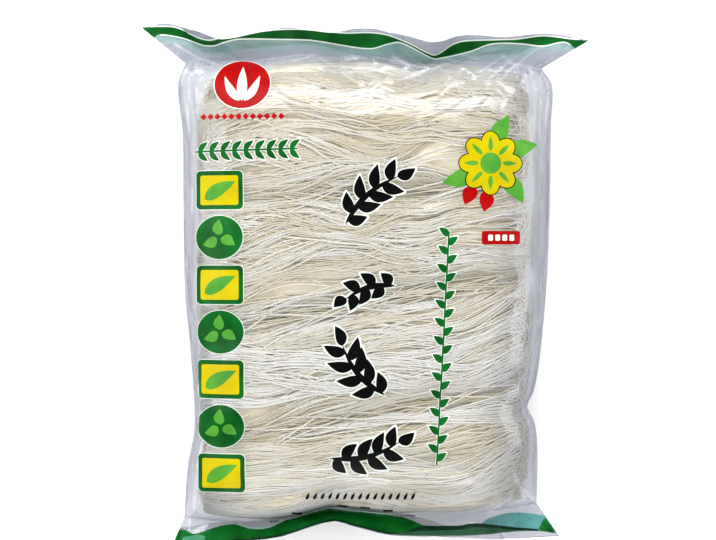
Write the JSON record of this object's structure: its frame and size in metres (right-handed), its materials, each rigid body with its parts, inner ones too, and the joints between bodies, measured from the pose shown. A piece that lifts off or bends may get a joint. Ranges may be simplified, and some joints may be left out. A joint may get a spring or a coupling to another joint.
{
  "type": "bag of glass noodles",
  "caption": "Clear printed film bag of dry glass noodles, sealed flat at top and bottom, with hanks of fine strands lying across it.",
  "frame": {"origin": "bottom centre of the bag's box, on the surface that it lies on", "axes": "+X to the right of the printed front, +Y towards the top seal, +Z out of the printed front, up"},
  "size_m": [0.3062, 0.3578, 0.0707],
  "materials": {
    "film_over_noodles": "clear glossy film close over pale dry strands",
    "clear_film": "clear, glossy, lightly wrinkled",
    "noodles": "dry translucent strands with a faint gloss",
    "green_ink": "printed on the film",
    "light_green_ink": "printed on the film",
    "yellow_ink": "printed on the film",
    "red_ink": "printed on the film",
    "black_ink": "printed on the film",
    "white_ink": "printed on the film"
  },
  "bodies": {
    "root": {"noodle_bag": "film_over_noodles"}
  },
  "joints": []
}
